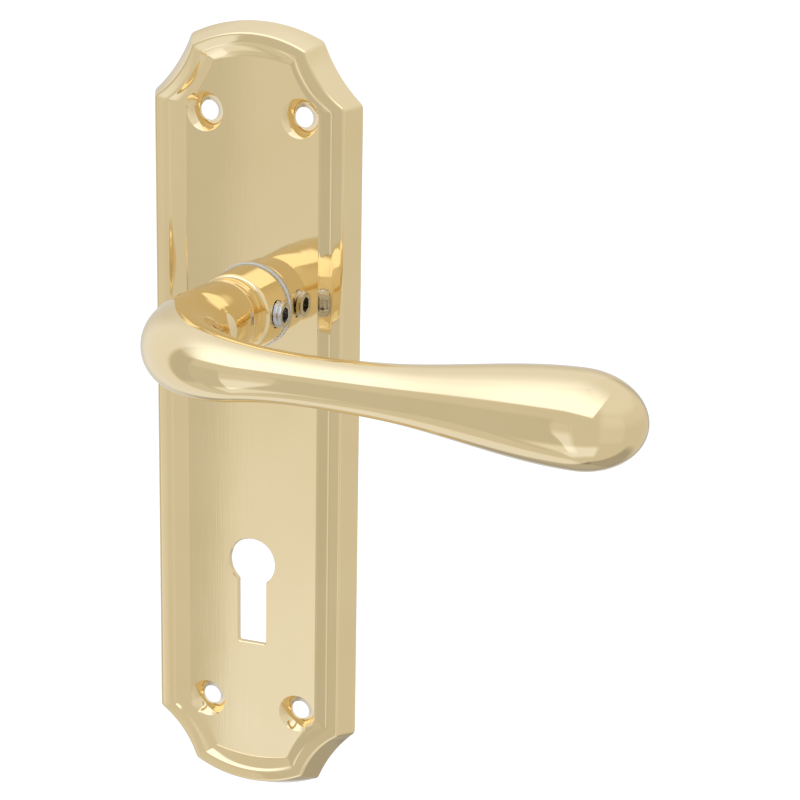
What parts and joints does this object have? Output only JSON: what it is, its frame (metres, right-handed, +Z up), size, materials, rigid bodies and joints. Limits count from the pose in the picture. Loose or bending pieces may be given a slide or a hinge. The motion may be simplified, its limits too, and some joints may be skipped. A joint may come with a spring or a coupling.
{
  "type": "lever handle lockset",
  "caption": "Sprung lever handle on a shaped moulded backplate with a keyhole, for one face of a door with a lever lock.",
  "frame": {"origin": "on the spindle axis, in the plane of the door's face, which is the back of the plate", "axes": "+X along the grip, away from the lock's edge; +Y into the door along the spindle; +Z up the plate"},
  "size_m": [0.1237, 0.0746, 0.168],
  "materials": {
    "plate_brass": "polished, with a faint vertical grain",
    "lever_brass": "mirror polished",
    "nylon": "natural white nylon",
    "screw_steel": "plain turned steel",
    "shank_steel": "turned steel",
    "zinc_steel": "zinc plated, satin",
    "drive_steel": "stamped steel",
    "spring_steel": "spring steel, oiled"
  },
  "bodies": {
    "plate": {"backplate": "plate_brass", "neck_bush": "nylon", "spring_housing": "zinc_steel", "housing_cover": "zinc_steel", "cover_screws": "screw_steel", "stop_pins": "drive_steel", "anchor_pin": "drive_steel", "thrust_washer": "nylon", "spring_guide": "nylon", "return_spring": "spring_steel", "rear_bush": "nylon"},
    "lever": {"lever_handle": "lever_brass", "drive_shank": "shank_steel", "grub_screw": "screw_steel", "drive_plate": "drive_steel", "drive_pin": "drive_steel", "spring_washer": "spring_steel", "shim_washer": "zinc_steel", "circlip": "spring_steel"}
  },
  "joints": [
    {"name": "lever_turn", "type": "hinge", "parent": "plate", "child": "lever", "pos_m": [0, 0, 0], "axis": [0, 1, 0], "range_deg": [0, 45], "stiffness_Nm_per_rad": 1, "springref_deg": -22.92, "deforming": ["return_spring"]}
  ]
}
